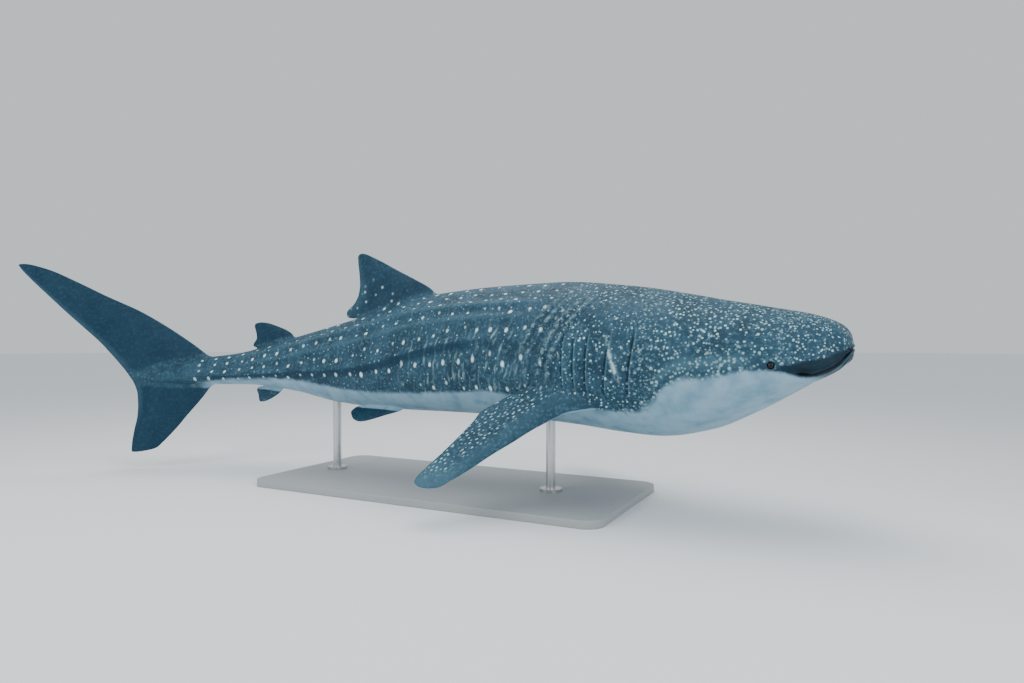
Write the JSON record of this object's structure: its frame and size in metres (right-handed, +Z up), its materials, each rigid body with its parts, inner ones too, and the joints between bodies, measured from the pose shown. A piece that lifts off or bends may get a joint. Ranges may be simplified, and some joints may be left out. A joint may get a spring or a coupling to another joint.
{
  "type": "whale shark display model",
  "caption": "Life-size spotted whale shark in a swimming pose with a curved tail, held over a flat base by short rods.",
  "frame": {"origin": "on the floor, under the middle of the whole object's box", "axes": "+X towards the snout, +Y towards the animal's left side, +Z up"},
  "size_m": [6.0602, 2.2022, 1.7482],
  "materials": {
    "skin": "satin, wet-looking, slate grey with pale spots and a white belly",
    "fin_skin": "satin, dark slate grey, sparsely spotted",
    "eye": "wet gloss",
    "stand_base": "fine matt powder coat",
    "stand_rod": "brushed"
  },
  "bodies": {
    "root": {"head": "skin", "torso_front": "skin", "torso_rear": "skin", "tail_stalk": "skin", "caudal_fin": "fin_skin", "dorsal_fin_first": "fin_skin", "dorsal_fin_second": "fin_skin", "anal_fin": "fin_skin", "pectoral_fin_left": "fin_skin", "pectoral_fin_right": "fin_skin", "pelvic_fin_left": "fin_skin", "pelvic_fin_right": "fin_skin", "eye_left": "eye", "eye_right": "eye", "stand_base": "stand_base", "stand_rod_front": "stand_rod", "stand_rod_rear": "stand_rod"}
  },
  "joints": []
}
